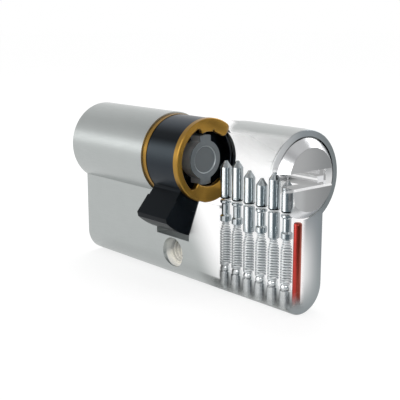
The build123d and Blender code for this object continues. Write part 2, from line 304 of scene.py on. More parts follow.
class Lay(Enum):
    """Which way the fine tool marks of a metal run."""

    ALONG_BARREL = (1.0, 40.0, 40.0)
    ROUND_BARREL = (60.0, 1.0, 1.0)
    ROUND_PIN = (1.0, 1.0, 30.0)
    NONE = (12.0, 12.0, 12.0)


@dataclass(frozen=True)
class MetalFinish:
    """A metal's colour, polish and tool marks, with the fades of the ghost drawing.

    Args:
        name: the material and how its surface was made.
        colour: the clean face.
        worn: the colour that the marks go to.
        roughness: the polish of the clean face.
        grain_mm: the length of one tool mark.
        lay: which way the marks run.
        marks: how far the marks change colour and polish, from 0 to 1.
        metallic: 1 for bare or plated metal, less for an oxide or lacquer.
        specular: the specular level, lower for an oil-black oxide.
        tint: the colour of the gleam on an oxide or lacquer.
        bump_mm: the height of the marks.
        solid: where a ghost face is solid; empty for a face that is solid all over.
        white: where the face is drawn in the white of a section, which glows by itself as painted light.
        coats: further colours, such as bare brass where the plating thins, and painted shade and highlights.
    """

    name: str
    colour: str
    worn: str
    roughness: float
    grain_mm: float
    lay: Lay
    marks: float = 0.3
    metallic: float = 1.0
    specular: float = 0.5
    tint: str = "#FFFFFF"
    bump_mm: float = 0.004
    solid: tuple[Patch, ...] = ()
    white: tuple[Patch, ...] = ()
    coats: tuple[Coat, ...] = ()

    # The white of a section glows by itself: painted light, so that it shows white also where shade falls.
    SECTION_WHITE = "#A6A6A6"
    SECTION_GLOW = 0.8
    SECTION_ROUGHNESS = 0.9
    CLOUDS_PER_MM = 0.22
    CLOUD_SHARE = 0.35
    WEAR_FROM = 0.35
    WEAR_TO = 0.65
    BUMP_STRENGTH = 0.6

    def material(self) -> bpy.types.Material:
        """Builds the material.

        Returns:
            The new material.
        """
        made = bpy.data.materials.new(self.name)
        made.use_nodes = True
        made.cycles.emission_sampling = "NONE"
        tree = made.node_tree
        shader = tree.nodes["Principled BSDF"]
        gauge = Gauge(tree)
        grain = add_node(tree, "ShaderNodeMapping", {"Vector": gauge.place, "Scale": self.lay.value})
        marks = add_node(
            tree,
            "ShaderNodeTexNoise",
            {"Vector": grain.outputs[0], "Scale": 1 / self.grain_mm, "Detail": 3.0, "Roughness": 0.6},
        ).outputs["Fac"]
        cloud = add_node(
            tree, "ShaderNodeTexNoise", {"Vector": gauge.place, "Scale": self.CLOUDS_PER_MM, "Detail": 2.0}
        ).outputs["Fac"]
        wear = add_node(
            tree, "ShaderNodeMix", {"Factor": self.CLOUD_SHARE, "A": marks, "B": cloud}
        ).outputs[0]
        wear = add_node(
            tree,
            "ShaderNodeMapRange",
            {"Value": wear, "From Min": self.WEAR_FROM, "From Max": self.WEAR_TO, "To Max": self.marks},
        ).outputs[0]
        colour = add_node(
            tree,
            "ShaderNodeMix",
            {"Factor": wear, "A": linear(self.colour), "B": linear(self.worn)},
            data_type="RGBA",
        ).outputs["Result"]
        rough = add_node(
            tree,
            "ShaderNodeMapRange",
            {
                "Value": marks,
                "To Min": self.roughness * (1 - self.marks),
                "To Max": self.roughness * (1 + self.marks),
            },
        ).outputs[0]
        bump = add_node(
            tree,
            "ShaderNodeBump",
            {"Height": marks, "Distance": self.bump_mm * MM, "Strength": self.BUMP_STRENGTH},
        )
        tree.links.new(bump.outputs[0], shader.inputs["Normal"])
        shader.inputs["Specular IOR Level"].default_value = self.specular
        shader.inputs["Specular Tint"].default_value = linear(self.tint)
        shader.inputs["Metallic"].default_value = self.metallic
        for layer in self.coats:
            colour = add_node(
                tree,
                "ShaderNodeMix",
                {"Factor": gauge.most(layer.patches), "A": colour, "B": linear(layer.colour)},
                data_type="RGBA",
            ).outputs["Result"]
        if self.white:
            white = gauge.most(self.white)
            colour = add_node(
                tree,
                "ShaderNodeMix",
                {"Factor": white, "A": colour, "B": linear(self.SECTION_WHITE)},
                data_type="RGBA",
            ).outputs["Result"]
            bare = add_node(
                tree, "ShaderNodeMapRange", {"Value": white, "To Min": self.metallic, "To Max": 0.0}
            )
            tree.links.new(bare.outputs[0], shader.inputs["Metallic"])
            # The section white glows by itself: painted light.
            glow = add_node(tree, "ShaderNodeMath", {0: white, 1: self.SECTION_GLOW}, operation="MULTIPLY")
            tree.links.new(glow.outputs[0], shader.inputs["Emission Strength"])
            rough = add_node(
                tree, "ShaderNodeMix", {"Factor": white, "A": rough, "B": self.SECTION_ROUGHNESS}
            ).outputs[0]
        if self.solid:
            tree.links.new(gauge.most(self.solid), shader.inputs["Alpha"])
        tree.links.new(colour, shader.inputs["Base Color"])
        tree.links.new(rough, shader.inputs["Roughness"])
        return made


@dataclass(frozen=True)
class Ghost:
    """Where the drawing fades the outer half out, in millimetres along each measure."""

    slot_wall: float = 5.0
    face: float = 30.0
    flank: float = -5.0
    bore: float = 6.95
    web_top: float = -6.9
    section: float = 1.25
    foot: float = -21.9

    def front(self) -> tuple[Ramp, ...]:
        """Gives the ramps of the web's front flank."""
        return (
            Ramp(ACROSS, self.flank + 0.3, self.flank + 0.1),
            Ramp(HEIGHT, self.web_top + 0.3, self.web_top - 0.1),
        )

    def end(self) -> Ramp:
        """Gives the ramp of the end face."""
        return Ramp(ALONG, self.face - 0.12, self.face - 0.06)

    def housing_solid(self) -> tuple[Patch, ...]:
        """Lists where the housing stays solid.

        Returns:
            The patches of the inner half, the back, the bore's wall behind the plug, the cut web, the
            fading top, flank and foot, and the end face.
        """
        end = self.end()
        barrel = Ramp(HEIGHT, self.web_top - 0.05, self.web_top + 0.03)
        under = Ramp(HEIGHT, self.web_top + 0.03, self.web_top - 0.05)
        shell = Ramp(RADIUS, self.bore, self.bore + 0.05)
        wall = Ramp(RADIUS, self.bore + 0.05, self.bore)
        past_slot = Ramp(ALONG, self.slot_wall + 0.3, self.slot_wall + 0.38)
        section = Ramp(ACROSS, self.section - 0.05, self.section + 0.05)
        behind = Ramp(Measure.DEPTH, -0.02, 0.02)
        outside = Ramp(ACROSS, -1.2, -1.5)
        inner_half = Patch((Ramp(ALONG, self.slot_wall - 0.01, self.slot_wall - 0.03),))
        back = (
            Patch((Ramp(Measure.DEPTH, 0.3, 1.5), barrel, shell, Ramp(ALONG, 6.6, 10.0))),
            Patch((Ramp(ACROSS, 3.0, 4.0), Ramp(HEIGHT, 4.6, 4.0), barrel, shell)),
        )
        bore_wall = (
            Patch((behind, barrel, wall, Ramp(ALONG, 8.6, 8.8), Ramp(ACROSS, -0.3, -0.1))),
            Patch((behind, *band(HEIGHT, -4.0, 4.8, 0.4), wall, past_slot)),
            Patch((Ramp(ACROSS, 3.2, 3.6), Ramp(HEIGHT, 5.2, 4.8), wall, past_slot)),
        )
        cut_web = (
            Patch((section, Ramp(HEIGHT, -9.2, -9.6))),
            Patch((section, under, Ramp(ALONG, 5.42, 5.5))),
        )
        top = (
            Patch((Ramp(Measure.CREST, 6.8, 15.2), Ramp(Measure.VERGE, 24.0, 27.8)), share=0.72),
            Patch((Ramp(HEIGHT, 6.4, 7.9), Ramp(Measure.VERGE, 24.0, 26.4))),
        )
        flank = Patch((*self.front(), Ramp(ALONG, 14.1, 13.5), Ramp(Measure.EDGE, 10.6, 11.1)))
        foot = (
            Patch((outside, Ramp(ALONG, 16.0, 6.0), Ramp(HEIGHT, -17.5, -19.5))),
            Patch((outside, Ramp(HEIGHT, -19.6, -24.6)), share=0.6),
            Patch((outside, Ramp(HEIGHT, -23.2, -24.2))),
            Patch((Ramp(HEIGHT, -24.2, -24.35),)),
        )
        end_face = (
            Patch((end, Ramp(ACROSS, -0.6, 0.7))),
            Patch((end, Ramp(HEIGHT, self.foot + 0.9, self.foot - 1.9))),
            Patch((end, Ramp(RADIUS, 8.6, 8.52), Ramp(HEIGHT, 1.5, 3.2))),
        )
        return (inner_half, *back, *bore_wall, *cut_web, *top, flank, *foot, *end_face)

    def housing_white(self) -> tuple[Patch, ...]:
        """Lists where the housing is drawn in the white of a section.

        Returns:
            The patches of the bore's wall, the fading flank, top and foot, the screw's hole, where the
            glowing white is painted light that lifts the hole's shade, and the end face.
        """
        end = self.end()
        hole = (
            *band(ALONG, -2.7, 2.7, 0.2),
            *band(ACROSS, -4.3, 4.3, 0.2),
            *band(HEIGHT, -21.3, -15.9, 0.2),
        )
        wall = Ramp(RADIUS, self.bore, self.bore - 0.07)
        past_slot = Ramp(ALONG, self.slot_wall + 0.3, self.slot_wall + 0.38)
        bore_wall = Patch((wall, past_slot, Ramp(ALONG, 28.4, 28.3)))
        flank = Patch((*self.front(), Ramp(Measure.DRIFT, -6.4, 4.4)))
        top = Patch(
            (Ramp(RADIUS, 8.3, 8.4), Ramp(HEIGHT, 6.4, 7.6), Ramp(Measure.VERGE, 23.0, 24.0)), share=0.12
        )
        foot = Patch(
            (
                Ramp(ACROSS, -1.2, -1.5),
                Ramp(ALONG, 12.0, 18.0),
                Ramp(ALONG, self.face - 0.05, self.face - 0.15),
                Ramp(HEIGHT, -19.0, -21.0),
            ),
            share=0.25,
        )
        # Painted light: the glowing white lifts the shade inside the screw's hole.
        screw_hole = (Patch((*hole, Ramp(HEIGHT, -17.0, -21.0)), share=0.42), Patch(hole, share=0.1))
        end_face = (
            Patch((end, Ramp(ACROSS, 4.8, -2.3), Ramp(HEIGHT, -4.5, -15.5), Ramp(HEIGHT, -23.8, -17.0))),
            Patch((end, Ramp(ACROSS, 0.0, -9.0), Ramp(HEIGHT, -6.0, -2.0)), share=0.42),
        )
        return (bore_wall, flank, top, foot, *screw_hole, *end_face)

    def plug_solid(self) -> tuple[Patch, ...]:
        """Lists where the outer plug stays solid.

        Returns:
            The patches of the head's face, behind which no pin shows, a veil over the trough's near end,
            and the keyway's far side.
        """
        head = Ramp(ALONG, 29.8, 30.0)
        keyway = band(HEIGHT, -1.58, 1.58, 0.07)
        past_pin = Ramp(ACROSS, -3.3, -2.8)
        return (
            Patch((head, Ramp(HEIGHT, 1.5, 1.6))),
            Patch((Ramp(ALONG, 28.8, 28.9), Ramp(HEIGHT, 2.5, 4.0), Ramp(RADIUS, 6.9, 6.95))),
            Patch((head, Ramp(HEIGHT, -1.5, -1.6), Ramp(Measure.BESIDE, -5.0, -4.7))),
            Patch((head, past_pin, *keyway)),
            Patch((head, Ramp(ACROSS, -6.9, -6.0), *keyway), share=0.5),
            Patch((Ramp(ALONG, 19.0, 22.0), Ramp(ACROSS, 1.2, 1.4), *keyway)),
            Patch((Ramp(ALONG, 27.0, 27.6), past_pin, *keyway)),
        )


GHOST = Ghost()

END_FACE = Ramp(ALONG, 29.85, 29.9)
# Brass body, milled along the barrel and satin nickel plated: a soft grey sheen with fine long lines,
# brass low in the screw's hole, and painted shade on the end face, on the slot's floor and round the plug's head.
HOUSING_NICKEL = MetalFinish(
    name="brass_satin_nickel_plated",
    colour="#ACB0AF",
    worn="#9DA1A0",
    roughness=0.34,
    grain_mm=3.0,
    lay=Lay.ALONG_BARREL,
    solid=GHOST.housing_solid(),
    white=GHOST.housing_white(),
    coats=(
        coat(
            "#CFCAB8",
            *band(ALONG, -2.9, 2.9, 0.3),
            *band(ACROSS, -4.2, 4.2, 0.2),
            Ramp(HEIGHT, -18.2, -20.2),
            Ramp(HEIGHT, -21.6, -21.4),
        ),
        # Painted shade on the end face: darker on the rim round the plug's head and lighter low down.
        coat("#80868A", END_FACE),
        coat("#72787A", END_FACE, Ramp(ACROSS, 1.0, 6.0), Ramp(HEIGHT, -7.5, -5.5)),
        coat("#8E9496", END_FACE, Ramp(HEIGHT, -9.0, -20.0)),
        # Painted shade on the slot's floor under the cam's lobe.
        coat("#5E6364", *band(HEIGHT, -15.35, -15.25, 0.05), *band(ALONG, -4.9, 4.9, 0.1)),
        # Painted shadow in the gap round the plug's head.
        coat(
            "#22282B",
            *band(RADIUS, 7.22, 7.28, 0.02),
            Ramp(ALONG, 28.2, 28.4),
            Ramp(ACROSS, -4.2, -1.2),
            Ramp(HEIGHT, -2.0, 3.0),
        ),
    ),
)
PLUG_FACE = Ramp(ALONG, 31.42, 31.46)
INSIDE_PLUG = Ramp(ALONG, 30.28, 30.2)
KEY_HEIGHT = band(HEIGHT, -1.54, 1.54, 0.06)
TROUGH_FLOOR = (*band(ALONG, 30.27, 30.33, 0.05), *KEY_HEIGHT)
TROUGH_END = (*TROUGH_FLOOR, Ramp(ACROSS, 4.9, 5.0))
RIB_SIDE = (*band(ACROSS, 2.88, 2.92, 0.04), Ramp(ALONG, 18.0, 23.0), INSIDE_PLUG)
KEYWAY = (INSIDE_PLUG, Ramp(ACROSS, -4.5, -4.3), *KEY_HEIGHT)
HEAD_UNDER_KEY = (
    Ramp(ALONG, 29.9, 30.0),
    Ramp(HEIGHT, -1.5, -1.6),
    Ramp(HEIGHT, -6.2, -4.6),
    Ramp(ACROSS, -1.0, -3.0),
)
# Painted shade on the flat end faces of both plugs.
PLUG_FACE_PAINTED_SHADE = Coat("#8F9091", (Patch((PLUG_FACE,)), Patch((Ramp(ALONG, -31.42, -31.46),))))
# Turned brass, nickel plated: a paler base than the housing's same nickel, painted light for the polished bevel's
# highlights, and painted shade on the flat end faces.
PLUG_NICKEL = MetalFinish(
    name="brass_turned_nickel_plated",
    colour="#DADBDD",
    worn="#CDCED1",
    roughness=0.22,
    grain_mm=2.0,
    lay=Lay.ROUND_BARREL,
    marks=0.15,
    bump_mm=0.002,
    coats=(PLUG_FACE_PAINTED_SHADE,),
)
# The same on the plug that fades: painted shade that darkens the face to the back, a grey keyway,
# painted highlights on the trough's lower edge and on the rib, and painted shadow in the gap round the head.
GHOST_PLUG_NICKEL = replace(
    PLUG_NICKEL,
    name="brass_turned_nickel_plated_ghost",
    solid=GHOST.plug_solid(),
    # Painted light: the white glows as highlights on the trough's lower edge and in a line on the rib, and pales
    # the deep keyway, the trough's lower end and the face.
    white=(
        Patch((Ramp(HEIGHT, -1.6, -1.57), Ramp(HEIGHT, -1.45, -1.5), Ramp(ALONG, 30.1, 30.3)), share=0.6),
        Patch((*RIB_SIDE, *band(HEIGHT, -0.58, -0.32, 0.12)), share=0.85),
        Patch((*KEYWAY, Ramp(ALONG, 22.0, 25.0)), share=0.3),
        Patch((*TROUGH_END, Ramp(HEIGHT, 1.4, -1.0)), share=0.5),
        Patch((PLUG_FACE,), share=0.12),
    ),
    coats=(
        PLUG_FACE_PAINTED_SHADE,
        # Painted shade darkening the face to the back.
        coat("#54585A", PLUG_FACE, Ramp(ACROSS, -4.5, 5.5)),
        Coat("#9EA0A1", (Patch(TROUGH_END), Patch(HEAD_UNDER_KEY))),
        coat("#77797A", *KEYWAY),
        coat("#6E7071", *TROUGH_FLOOR, Ramp(ACROSS, -3.6, -4.2)),
        # Painted shadow in the gap round the head.
        coat(
            "#24282B",
            *band(RADIUS, 6.97, 7.03, 0.03),
            Ramp(ALONG, 30.0, 29.9),
            Ramp(ACROSS, -4.2, -1.2),
            Ramp(HEIGHT, 1.0, 4.0),
        ),
    ),
)
# Stamped bronze strip: a warm, dull gold.
CLIP_BRONZE = MetalFinish(
    name="bronze_stamped",
    colour="#9A7634",
    worn="#86682E",
    roughness=0.36,
    grain_mm=1.2,
    lay=Lay.NONE,
)
CAM_RING = (Ramp(RADIUS, 7.95, 8.05), Ramp(RADIUS, 8.2, 8.15))
CAM_BELLY = Ramp(HEIGHT, -5.2, -3.6)
# Sintered steel, oil blackened: near black, with bluish painted highlights in bands round the turned ring and on
# the recess's wall.
CAM_BLACK = MetalFinish(
    name="sintered_steel_blackened",
    colour="#05090E",
    worn="#0C1218",
    roughness=0.3,
    grain_mm=0.5,
    lay=Lay.NONE,
    metallic=0.0,
    specular=0.1,
    tint="#A9C4D8",
    bump_mm=0.01,
    coats=(
        # Painted highlights in bands round the ring and on the recess's wall.
        coat("#3A4047", *CAM_RING, Ramp(HEIGHT, 5.2, 7.4)),
        coat("#525A60", *CAM_RING, Ramp(HEIGHT, 4.4, 2.3), CAM_BELLY),
        coat("#393F46", *CAM_RING, Ramp(HEIGHT, 2.0, -0.8), CAM_BELLY),
        coat("#454B51", Ramp(RADIUS, 6.98, 7.05), Ramp(RADIUS, 7.4, 7.3), Ramp(ALONG, 3.3, 3.4)),
    ),
)
# Sintered steel, zinc plated: a plain mid grey, with its side painted near white as painted light, and a painted
# highlight on the edge of its face ring.
COUPLING_ZINC = MetalFinish(
    name="sintered_steel_zinc_plated",
    colour="#666D71",
    worn="#565D61",
    roughness=0.35,
    grain_mm=0.6,
    lay=Lay.NONE,
    marks=0.4,
    metallic=0.4,
    coats=(
        # Painted light on the side, which lies in shade, and a painted highlight on the face ring's edge.
        coat("#E6E9EB", Ramp(RADIUS, 3.6, 3.7), Ramp(ALONG, 3.95, 3.9)),
        coat("#A9B0B3", *band(RADIUS, 2.58, 2.69, 0.05)),
        coat("#5B6164", Ramp(RADIUS, 2.5, 2.45)),
    ),
)
# Nickel silver pins, turned and barrel polished: bright, with fine rings, painted shade on the far side and a
# painted shadow line at the shear gap.
PIN_NICKEL_SILVER = MetalFinish(
    name="nickel_silver_turned_polished",
    colour="#C2C8CB",
    worn="#B2B8BB",
    roughness=0.1,
    grain_mm=1.0,
    lay=Lay.ROUND_PIN,
    coats=(
        # Painted shade on the far side, and a painted shadow line at the shear gap.
        coat("#A0A7AA", Ramp(ACROSS, -0.3, -0.1)),
        coat("#2A2E30", *band(HEIGHT, -6.7, -6.35, 0.1)),
    ),
)
# Drawn stainless wire: bright, with faint die lines, a faint painted glow, and painted shade in grey on the far
# side of each coil.
SPRING_STEEL = MetalFinish(
    name="stainless_wire_drawn",
    colour="#D5D9DB",
    worn="#C4C8CA",
    roughness=0.32,
    grain_mm=0.8,
    lay=Lay.NONE,
    # A faint white glow, painted light, and painted shade on the far side of each coil.
    white=(Patch((Ramp(HEIGHT, 0.0, -1.0),), share=0.07),),
    coats=(coat("#8A9296", Ramp(ACROSS, -0.1, 0.3)),),
)
# Pressed plugs, nickel plated and filed flush under the housing: pale, with a grey stripe of painted shade down
# the shank.
CLOSING_BRASS = MetalFinish(
    name="brass_pressed_filed",
    colour="#DCDFE0",
    worn="#CBCED0",
    roughness=0.2,
    grain_mm=1.0,
    lay=Lay.NONE,
    coats=(
        # Painted shade: a grey stripe down the shank.
        coat("#A6ABAE", Ramp(ACROSS, -0.95, -0.8), Ramp(ACROSS, -0.15, -0.32), Ramp(HEIGHT, -20.4, -20.9)),
    ),
)
# Hardened steel pin, dipped in red lacquer: a glossy red with a dark core of painted shade and a paler far side as
# a painted highlight, going grey towards the foot.
DRILL_PIN_RED = MetalFinish(
    name="hardened_steel_red_lacquer",
    colour="#C8382E",
    worn="#B03228",
    roughness=0.25,
    grain_mm=0.8,
    lay=Lay.ROUND_PIN,
    metallic=0.5,
    coats=(
        # Painted shade in the core, and a painted highlight on the far side.
        coat("#94321F", Ramp(ACROSS, -0.68, -0.5), Ramp(ACROSS, 0.0, -0.2)),
        coat("#C06A58", Ramp(ACROSS, -0.2, 0.0)),
        coat("#8C8E8C", Ramp(HEIGHT, -20.8, -24.0)),
    ),
)
# White of a section drawing, glowing by itself as painted light, which goes to the metal's grey at the foot.
SECTION_FACE = MetalFinish(
    name="section_face_white",
    colour="#B4B8B7",
    worn="#A9ADAC",
    roughness=0.6,
    grain_mm=3.0,
    lay=Lay.ALONG_BARREL,
    white=(Patch((Ramp(HEIGHT, -24.5, -20.5),)),),
)
# Tapped brass with the plating worn thin: a pale straw colour low in the hole, lifted there by a white glow of
# painted light.
THREAD_BRASS = MetalFinish(
    name="brass_tapped_thread",
    colour="#A9ABA6",
    worn="#A09E90",
    roughness=0.5,
    grain_mm=1.0,
    lay=Lay.NONE,
    metallic=0.6,
    # Painted light: a white glow lifts the shade low in the hole.
    white=(Patch((Ramp(HEIGHT, -16.6, -20.6),), share=0.3),),
    coats=(coat("#CFC9B4", Ramp(HEIGHT, -17.6, -19.8)),),
)


def dress(material: bpy.types.Material, *nodes: str) -> None:
    """Gives CAD nodes their material.

    Args:
        material: the finish.
        *nodes: the names of the nodes.
    """
    for name in nodes:
        mesh = frame["nodes"][name].data
        mesh.materials.clear()
        mesh.materials.append(material)
        LOG.info("dressed %s in %s", name, material.name)


def solid_piece(name: str, mesh: bpy.types.Mesh, material: bpy.types.Material) -> bpy.types.Object:
    """Makes an object of a mesh that is already in place.

    Args:
        name: the piece's name.
        mesh: its mesh, in metres.
        material: its finish.

    Returns:
        The new object, linked to the scene.
    """
    piece = bpy.data.objects.new(name, mesh)
    bpy.context.scene.collection.objects.link(piece)
    mesh.materials.clear()
    mesh.materials.append(material)
    return piece


def grown_piece(
    name: str, tree: bpy.types.NodeTree, sizes: dict[str, Any], material: bpy.types.Material
) -> bpy.types.Object:
    """Grows a piece from a geometry tree and makes it a plain mesh.

    Args:
        name: the piece's name.
        tree: the tree, whose inputs are named.
        sizes: values for the tree's inputs, by name, in metres.
        material: the piece's finish.

    Returns:
        The new object, with no modifier left on it.
    """
    seed = bpy.data.objects.new(name + "_seed", bpy.data.meshes.new(name + "_seed"))
    bpy.context.scene.collection.objects.link(seed)
    modifier = seed.modifiers.new("grow", "NODES")
    modifier.node_group = tree
    values = {**sizes, "Finish": material}
    for item in tree.interface.items_tree:
        if item.item_type == "SOCKET" and item.in_out == "INPUT" and item.name in values:
            modifier[item.identifier] = values[item.name]
    graph = bpy.context.evaluated_depsgraph_get()
    mesh = bpy.data.meshes.new_from_object(seed.evaluated_get(graph), depsgraph=graph)
    mesh.name = name
    seed.modifiers.clear()
    bpy.data.objects.remove(seed)
    return solid_piece(name, mesh, material)


def new_tree(name: str, inputs: tuple[tuple[str, str], ...]) -> bpy.types.NodeTree:
    """Starts a geometry tree with named inputs and one geometry output.

    Args:
        name: the tree's name.
        inputs: each input's name and socket type.

    Returns:
        The new tree.
    """
    tree = bpy.data.node_groups.new(name, "GeometryNodeTree")
    tree.interface.new_socket("Geometry", in_out="INPUT", socket_type="NodeSocketGeometry")
    for label, kind in inputs:
        tree.interface.new_socket(label, in_out="INPUT", socket_type=kind)
    tree.interface.new_socket("Finish", in_out="INPUT", socket_type="NodeSocketMaterial")
    tree.interface.new_socket("Geometry", in_out="OUTPUT", socket_type="NodeSocketGeometry")
    return tree


def close_tree(
    tree: bpy.types.NodeTree, geometry: bpy.types.NodeSocket, finish: bpy.types.NodeSocket
) -> None:
    """Ends a geometry tree in smooth, real faces with their material.

    Args:
        tree: the tree to end.
        geometry: the last geometry socket.
        finish: the material socket.
    """
    smooth = add_node(tree, "GeometryNodeSetShadeSmooth", {"Geometry": geometry})
    real = add_node(tree, "GeometryNodeRealizeInstances", {"Geometry": smooth.outputs[0]})
    painted = add_node(tree, "GeometryNodeSetMaterial", {"Geometry": real.outputs[0], "Material": finish})
    add_node(tree, "NodeGroupOutput", {"Geometry": painted.outputs[0]})


@dataclass
class Housing:
    """The profiled body with its drill pin, closing plugs, thread and section face.

    The thread's foot is a share of its pitch, and its steps are those of one turn.
    """

    thread_pitch: float = 0.8
    thread_depth: float = 0.43
    thread_crest: float = 0.1
    thread_foot: float = 0.85
    thread_steps: int = 48
    face_depth: float = 1.4
    face_thickness: float = 0.08
    face_top: float = -6.74
    face_foot: float = -24.1
    face_start: float = 5.05
    face_stop: float = 29.7
    face_step: float = 8.7
    face_shoulder: float = -9.4

    def dress(self) -> None:
        """Gives the housing and the parts fixed in it their finishes."""
        dress(HOUSING_NICKEL.material(), "housing")
        dress(DRILL_PIN_RED.material(), "drill_pin")
        # The pins stay grey: the red pin isn't mirrored in them.
        frame["nodes"]["drill_pin"].visible_glossy = False
        dress(CLOSING_BRASS.material(), "closing_plugs_outer", "closing_plugs_inner")

    def section_face(self) -> bpy.types.Object:
        """Builds the face of the cut web behind the pins.

        Returns:
            A thin plate inside the web of the outer half.
        """
        axis_height = joint_named("outer_plug_turn")["pos_m"][2]
        outline = (
            (self.face_start, self.face_foot),
            (self.face_stop, self.face_foot),
            (self.face_stop, self.face_top),
            (self.face_step, self.face_top),
            (self.face_step, self.face_shoulder),
            (self.face_start, self.face_shoulder),
        )
        form = bmesh.new()
        corners = [
            form.verts.new((x * MM, self.face_depth * MM, z * MM + axis_height)) for x, z in outline
        ]
        front = form.faces.new(corners)
        grown = bmesh.ops.extrude_face_region(form, geom=[front])
        moved = [item for item in grown["geom"] if isinstance(item, bmesh.types.BMVert)]
        bmesh.ops.translate(form, verts=moved, vec=(0.0, self.face_thickness * MM, 0.0))
        bmesh.ops.recalc_face_normals(form, faces=form.faces)
        mesh = bpy.data.meshes.new("section_face")
        form.to_mesh(mesh)
        form.free()
        piece = solid_piece("section_face", mesh, SECTION_FACE.material())
        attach(piece, "housing")
        return piece

    def thread_tree(self) -> bpy.types.NodeTree:
        """Builds the tree of the tapped thread: a ridge that winds along the hole.

        Returns:
            The tree.
        """
        tree = new_tree(
            "tapped_thread",
            (
                ("Hole Radius", "NodeSocketFloat"),
                ("Ridge", "NodeSocketFloat"),
                ("Crest", "NodeSocketFloat"),
                ("Pitch", "NodeSocketFloat"),
                ("Length", "NodeSocketFloat"),
            ),
        )
        size = add_node(tree, "NodeGroupInput").outputs
        turns = add_node(tree, "ShaderNodeMath", {0: size["Length"], 1: size["Pitch"]}, operation="DIVIDE")
        half = add_node(tree, "ShaderNodeMath", {0: size["Ridge"], 1: 0.5}, operation="MULTIPLY")
        middle = add_node(
            tree, "ShaderNodeMath", {0: size["Hole Radius"], 1: half.outputs[0]}, operation="SUBTRACT"
        )
        path = add_node(
            tree,
            "GeometryNodeCurveSpiral",
            {
                "Resolution": self.thread_steps,
                "Rotations": turns.outputs[0],
                "Start Radius": middle.outputs[0],
                "End Radius": middle.outputs[0],
                "Height": size["Length"],
            },
        )
        upright = add_node(tree, "GeometryNodeSetCurveNormal", {"Curve": path.outputs[0]}, mode="Z_UP")
        foot = add_node(
            tree, "ShaderNodeMath", {0: size["Pitch"], 1: self.thread_foot}, operation="MULTIPLY"
        )
        ridge = add_node(
            tree,
            "GeometryNodeCurvePrimitiveQuadrilateral",
            {
                "Bottom Width": foot.outputs[0],
                "Top Width": size["Crest"],
                "Height": size["Ridge"],
                "Offset": 0.0,
            },
            mode="TRAPEZOID",
        )
        turned = add_node(
            tree,
            "GeometryNodeTransform",
            {"Geometry": ridge.outputs[0], "Rotation": (0.0, 0.0, math.radians(90))},
        )
        swept = add_node(
            tree,
            "GeometryNodeCurveToMesh",
            {"Curve": upright.outputs[0], "Profile Curve": turned.outputs[0], "Fill Caps": True},
        )
        back = add_node(tree, "ShaderNodeMath", {0: size["Length"], 1: 0.5}, operation="MULTIPLY")
        shift = add_node(tree, "ShaderNodeCombineXYZ", {"Y": back.outputs[0]})
        laid = add_node(
            tree,
            "GeometryNodeTransform",
            {
                "Geometry": swept.outputs[0],
                "Translation": shift.outputs[0],
                "Rotation": (math.radians(90), 0.0, 0.0),
            },
        )
        close_tree(tree, laid.outputs[0], size["Finish"])
        return tree

    def thread(self) -> bpy.types.Object:
        """Builds the thread of the fixing screw's hole.

        Returns:
            The ridge, in place along the hole.
        """
        mount = next(m for m in frame["record"]["mounts"] if m["name"] == "fixing_screw")
        piece = grown_piece(
            "fixing_thread",
            self.thread_tree(),
            {
                "Hole Radius": mount["dims"]["r_mm"] * MM,
                "Ridge": self.thread_depth * MM,
                "Crest": self.thread_crest * MM,
                "Pitch": self.thread_pitch * MM,
                "Length": mount["dims"]["length_mm"] * MM,
            },
            THREAD_BRASS.material(),
        )
        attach(piece, "housing")
        return piece


@dataclass
class TurningParts:
    """The two plugs with their clips, the cam and the coupling."""

    def dress(self) -> None:
        """Gives the turning parts their finishes."""
        dress(GHOST_PLUG_NICKEL.material(), "plug_outer")
        dress(PLUG_NICKEL.material(), "plug_inner")
        dress(CLIP_BRONZE.material(), "clip_outer", "clip_inner")
        dress(CAM_BLACK.material(), "cam")
        dress(COUPLING_ZINC.material(), "coupling")


